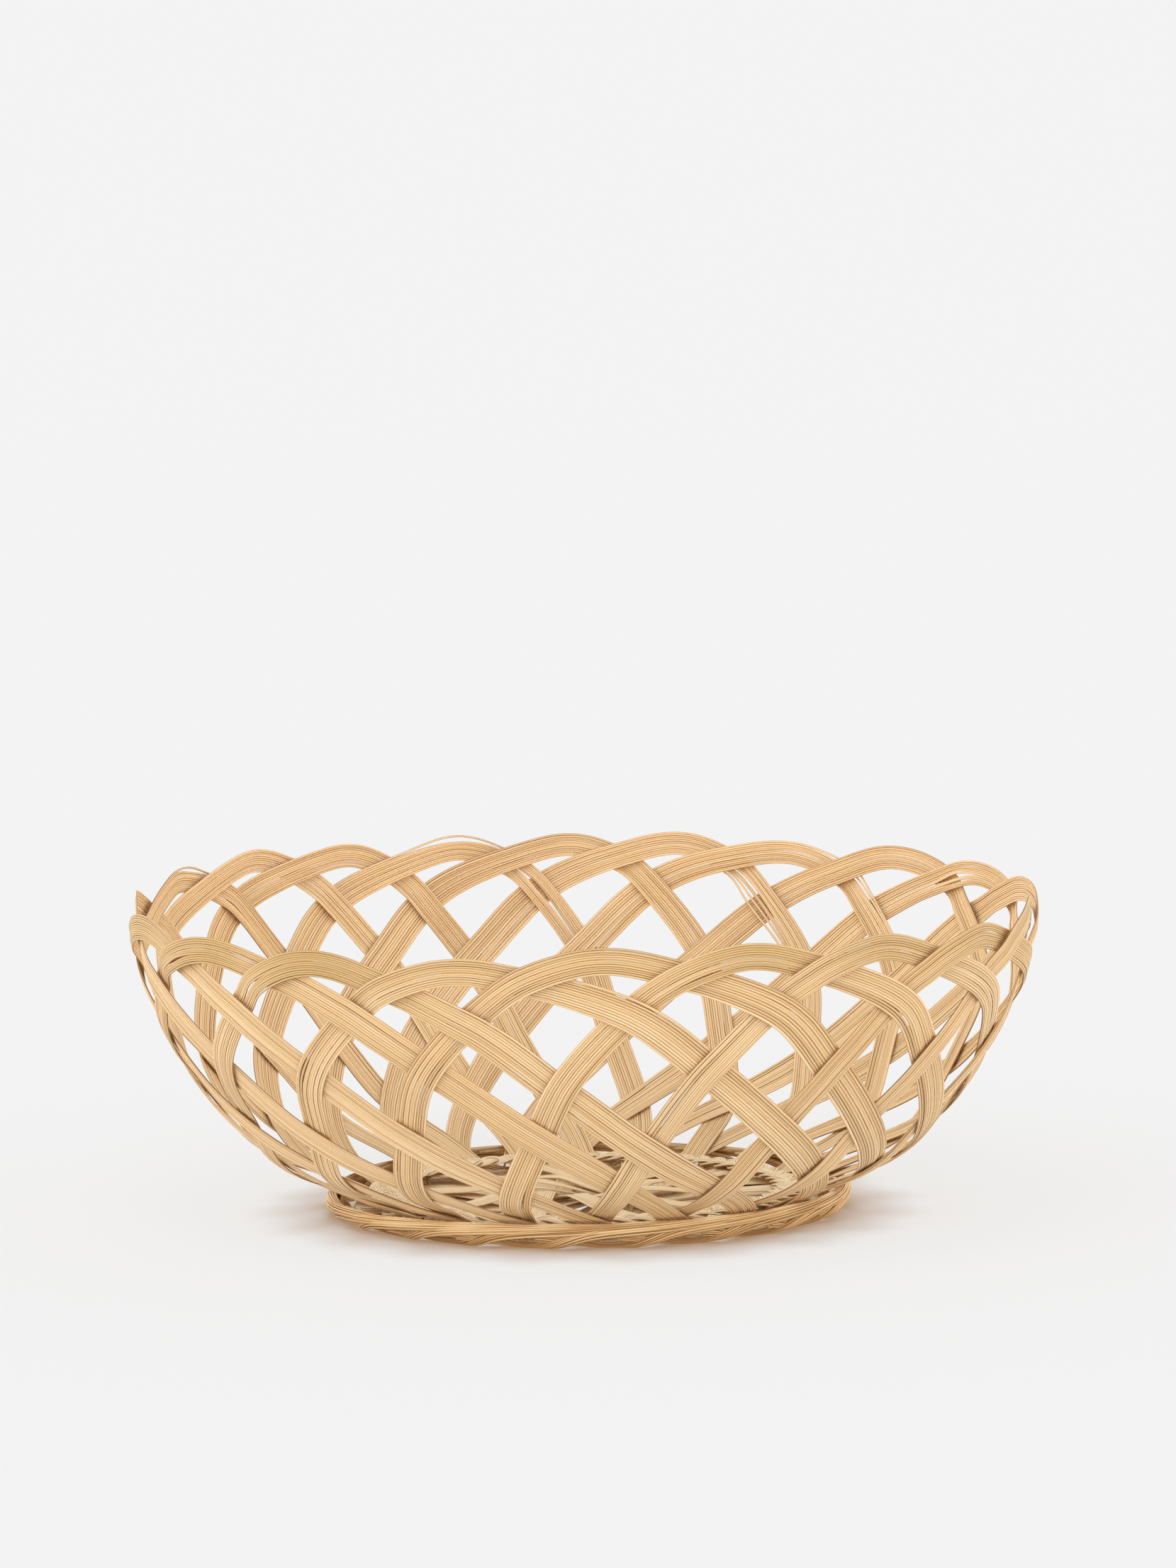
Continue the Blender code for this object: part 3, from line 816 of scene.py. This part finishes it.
def paper(name):
    """The floor: a pale translucent sheet, lit from above and, softly, from below; next to the basket
    its glow is dimmed to a painted warm shadow.
    """
    material = bpy.data.materials.new(name)
    n = Nodes(material)
    where = n.new("ShaderNodeTexCoord").outputs["Object"]
    tooth = n.noise(where, 420.0, 2.0)
    colour = n.mix(tooth, FLOOR_COLOUR, tuple(c * 0.995 for c in FLOOR_COLOUR[:3]) + (1.0,))
    n.link(colour, n.shader.inputs["Base Color"])
    n.link(n.span(tooth, 0.0, 1.0, 0.85, 0.95), n.shader.inputs["Roughness"])
    n.shader.inputs["Specular IOR Level"].default_value = 0.0
    # painted contact shadow: the floor's glow turns warm and dark where the basket is near
    open_sky = n.new("ShaderNodeAmbientOcclusion", samples=16)
    open_sky.inputs["Distance"].default_value = FLOOR_SHADOW_REACH
    glow_with_painted_shadow = n.mix(n.span(open_sky.outputs["AO"], 0.15, 1.0), FLOOR_SHADOW_COLOUR, (1.0, 1.0, 1.0, 1.0))
    n.link(glow_with_painted_shadow, n.shader.inputs["Emission Color"])
    n.shader.inputs["Emission Strength"].default_value = FLOOR_GLOW
    return material


# ---------------------------------------------------------------- studio


def studio():
    floor_mesh = bpy.data.meshes.new("studio_floor")
    reach = 30.0
    corners = [(-reach, -reach, 0.0), (reach, -reach, 0.0), (reach, reach, 0.0), (-reach, reach, 0.0)]
    floor_mesh.from_pydata(corners, [], [(0, 1, 2, 3)])
    floor = bpy.data.objects.new("studio_floor", floor_mesh)
    floor_mesh.materials.append(paper("studio_paper"))
    bpy.context.scene.collection.objects.link(floor)

    key = bpy.data.lights.new("soft_key", "SUN")
    key.energy = KEY_STRENGTH
    key.color = KEY_COLOUR
    key.angle = math.radians(KEY_SOFTNESS_DEG)
    key_ob = bpy.data.objects.new("soft_key", key)
    key_ob.rotation_euler = (math.radians(KEY_TILT_DEG[0]), math.radians(KEY_TILT_DEG[1]), 0.0)
    bpy.context.scene.collection.objects.link(key_ob)

    world = bpy.data.worlds.new("studio")
    world.use_nodes = True
    tree = world.node_tree
    tree.nodes.clear()
    seen = tree.nodes.new("ShaderNodeBackground")
    seen.inputs["Color"].default_value = (BACKGROUND, BACKGROUND, BACKGROUND, 1.0)
    lit = tree.nodes.new("ShaderNodeBackground")
    where = tree.nodes.new("ShaderNodeTexCoord")
    parts = tree.nodes.new("ShaderNodeSeparateXYZ")
    tree.links.new(where.outputs["Generated"], parts.inputs[0])
    below = tree.nodes.new("ShaderNodeMath")
    below.operation = "SUBTRACT"
    below.use_clamp = True
    below.inputs[0].default_value = 1.0
    tree.links.new(parts.outputs["Z"], below.inputs[1])
    sides = tree.nodes.new("ShaderNodeMath")
    sides.operation = "POWER"
    sides.inputs[1].default_value = 2.0
    tree.links.new(below.outputs[0], sides.inputs[0])
    blend = tree.nodes.new("ShaderNodeMix")
    blend.data_type = "VECTOR"
    blend.inputs["A"].default_value = OVERHEAD
    blend.inputs["B"].default_value = tuple(o + a for o, a in zip(OVERHEAD, AROUND))
    blend.clamp_factor = False
    tree.links.new(sides.outputs[0], blend.inputs["Factor"])
    tree.links.new(blend.outputs["Result"], lit.inputs["Color"])
    path = tree.nodes.new("ShaderNodeLightPath")
    choose = tree.nodes.new("ShaderNodeMixShader")
    output = tree.nodes.new("ShaderNodeOutputWorld")
    tree.links.new(path.outputs["Is Camera Ray"], choose.inputs[0])
    tree.links.new(lit.outputs[0], choose.inputs[1])
    tree.links.new(seen.outputs[0], choose.inputs[2])
    tree.links.new(choose.outputs[0], output.inputs[0])
    bpy.context.scene.world = world
    bpy.context.scene.view_settings.view_transform = "Standard"
    bpy.context.scene.view_settings.look = "None"


def camera():
    lens = bpy.data.cameras.new("camera")
    lens.sensor_width = 36.0
    lens.lens = CAMERA_LENS
    lens.shift_x = CAMERA_SHIFT_X
    lens.clip_end = 200.0
    ob = bpy.data.objects.new("camera", lens)
    pitch = Matrix.Rotation(math.radians(90.0 - CAMERA_DOWN_DEG), 4, "X")
    roll = Matrix.Rotation(math.radians(CAMERA_ROLL_DEG), 4, "Z")
    ob.matrix_world = Matrix.Translation(CAMERA_PLACE) @ pitch @ roll
    bpy.context.scene.collection.objects.link(ob)
    bpy.context.scene.camera = ob


# ---------------------------------------------------------------- build


def build():
    wall = bamboo(
        "wall_bamboo",
        pale=(0.93, 0.69, 0.41, 1.0),
        honey=(0.82, 0.56, 0.285, 1.0),
        deep=(0.61, 0.37, 0.16, 1.0),
        stain_share=0.40,
        groove_shade=0.95,
    )
    border = bamboo(
        "border_bamboo",
        pale=(0.95, 0.71, 0.40, 1.0),
        honey=(0.82, 0.56, 0.27, 1.0),
        deep=(0.54, 0.31, 0.11, 1.0),
        stain_share=0.45,
        groove_shade=0.70,
        foot_shade_share=0.60,
    )
    star = bamboo(
        "star_bamboo",
        pale=(0.95, 0.75, 0.48, 1.0),
        honey=(0.88, 0.66, 0.38, 1.0),
        deep=(0.66, 0.45, 0.23, 1.0),
        stain_share=0.25,
        groove_shade=0.35,
    )
    plait = bamboo(
        "braid_bamboo",
        pale=(0.95, 0.78, 0.52, 1.0),
        honey=(0.88, 0.67, 0.41, 1.0),
        deep=(0.66, 0.46, 0.25, 1.0),
        stain_share=0.20,
        groove_shade=0.50,
    )
    mat = bamboo(
        "mat_bamboo",
        pale=(0.95, 0.75, 0.47, 1.0),
        honey=(0.86, 0.63, 0.36, 1.0),
        deep=(0.62, 0.42, 0.21, 1.0),
        stain_share=0.30,
        groove_shade=0.35,
    )
    for number in range(1, ARCH_COUNT + 1):
        wall_arch(number, wall)
    for number in range(1, ARCH_COUNT + 1):
        border_bundle(number, border)
    for number in range(1, STAR_COUNT + 1):
        star_bundle(number, star)
    base_strips(mat)
    base_plait(plait)
    studio()
    camera()


build()
bpy.context.view_layer.update()
